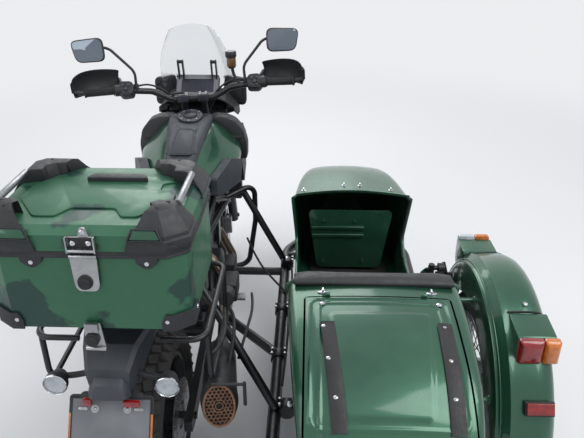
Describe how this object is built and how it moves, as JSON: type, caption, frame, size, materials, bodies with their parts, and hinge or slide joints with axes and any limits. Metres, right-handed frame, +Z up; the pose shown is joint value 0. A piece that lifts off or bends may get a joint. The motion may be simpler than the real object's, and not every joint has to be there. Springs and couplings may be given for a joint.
{
  "type": "sidecar motorcycle",
  "caption": "Adventure touring motorcycle with an old-style steel sidecar, steering, turning wheels and opening luggage lids.",
  "frame": {"origin": "on the ground below the middle of the whole outfit", "axes": "+Y forward, +X to the right towards the sidecar, +Z up"},
  "size_m": [1.8266, 2.4886, 1.472],
  "materials": {
    "green_paint": "metallic green lacquer",
    "frame_black": "satin black powder coat",
    "engine_grey": "satin dark casting",
    "black_plastic": "fine grained plastic",
    "grey_plastic": "satin dark grey",
    "header_steel": "heat tinted steel",
    "silencer_bronze": "bronze tinted steel",
    "bare_steel": "brushed",
    "chain_steel": "oiled",
    "alloy": "anodised",
    "wheel_black": "gloss black",
    "wheel_bright": "polished",
    "tyre_rubber": "matt",
    "shock_black": "satin",
    "vinyl": "grained black vinyl",
    "clear_lens": "moulded lens",
    "red_lens": "moulded lens",
    "screen": "clear",
    "display_dark": "anti-glare",
    "plate_grey": "satin"
  },
  "bodies": {
    "chassis": {"carrier": "frame_black", "case_band": "black_plastic", "case_body": "green_paint", "case_latches": "bare_steel", "chain": "chain_steel", "console": "grey_plastic", "crash_bars": "frame_black", "cylinders": "engine_grey", "display": "display_dark", "engine": "engine_grey", "exhaust": "header_steel", "footpegs": "bare_steel", "frame": "frame_black", "headlamp": "clear_lens", "knee_panels": "grey_plastic", "nose_fairing": "black_plastic", "number_plate": "plate_grey", "pannier_racks": "frame_black", "radiator": "black_plastic", "rear_lamps": "clear_lens", "rear_mudguard": "black_plastic", "seat": "vinyl", "shock": "shock_black", "shrouds": "black_plastic", "sidecar_arm": "frame_black", "sidecar_chassis": "frame_black", "sidecar_lamps": "red_lens", "sidecar_mudguard": "green_paint", "sidecar_shock": "shock_black", "silencer": "silencer_bronze", "skid_plate": "alloy", "splash_plate": "green_paint", "struts": "frame_black", "swingarm": "frame_black", "tail_fairing": "grey_plastic", "tank": "green_paint", "tub": "green_paint", "tub_seat": "vinyl", "tub_seat_back": "vinyl", "windscreen": "screen"},
    "case_lid": {"case_lid": "green_paint", "lid_guards": "black_plastic"},
    "rear_wheel": {"rear_tyre": "tyre_rubber", "rear_rim": "wheel_black", "rear_disc": "bare_steel", "rear_sprocket": "bare_steel"},
    "luggage_lid": {"tub_lid": "green_paint"},
    "sidecar_wheel": {"sidecar_tyre": "tyre_rubber", "sidecar_rim": "wheel_bright"},
    "front_wheel": {"front_tyre": "tyre_rubber", "front_rim": "wheel_black", "front_discs": "bare_steel"},
    "steering": {"fork": "frame_black", "handlebar": "frame_black", "bar_controls": "black_plastic", "mirrors": "black_plastic", "handguards": "black_plastic", "front_mudguard": "black_plastic", "front_calipers": "alloy"}
  },
  "joints": [
    {"name": "steering", "type": "hinge", "parent": "chassis", "child": "steering", "pos_m": [-0.41674, 0.89165, 0.31148], "axis": [0, -0.4226, 0.9063], "range_deg": [-40, 28]},
    {"name": "front_wheel", "type": "hinge", "parent": "steering", "child": "front_wheel", "pos_m": [-0.42009, 0.92049, 0.32493], "axis": [0.9945, 0.0947, 0.0442], "continuous": true},
    {"name": "rear_wheel", "type": "hinge", "parent": "chassis", "child": "rear_wheel", "pos_m": [-0.41674, -0.65935, 0.318], "axis": [1, 0, 0], "continuous": true},
    {"name": "sidecar_wheel", "type": "hinge", "parent": "chassis", "child": "sidecar_wheel", "pos_m": [0.77826, -0.43435, 0.33], "axis": [1, 0, 0], "continuous": true},
    {"name": "case_lid", "type": "hinge", "parent": "chassis", "child": "case_lid", "pos_m": [-0.41674, -0.66535, 1.224], "axis": [-1, 0, 0], "range_deg": [0, 75]},
    {"name": "luggage_lid", "type": "hinge", "parent": "chassis", "child": "luggage_lid", "pos_m": [0.33857, -0.69735, 0.872], "axis": [-1, 0, 0], "range_deg": [0, 70]}
  ]
}
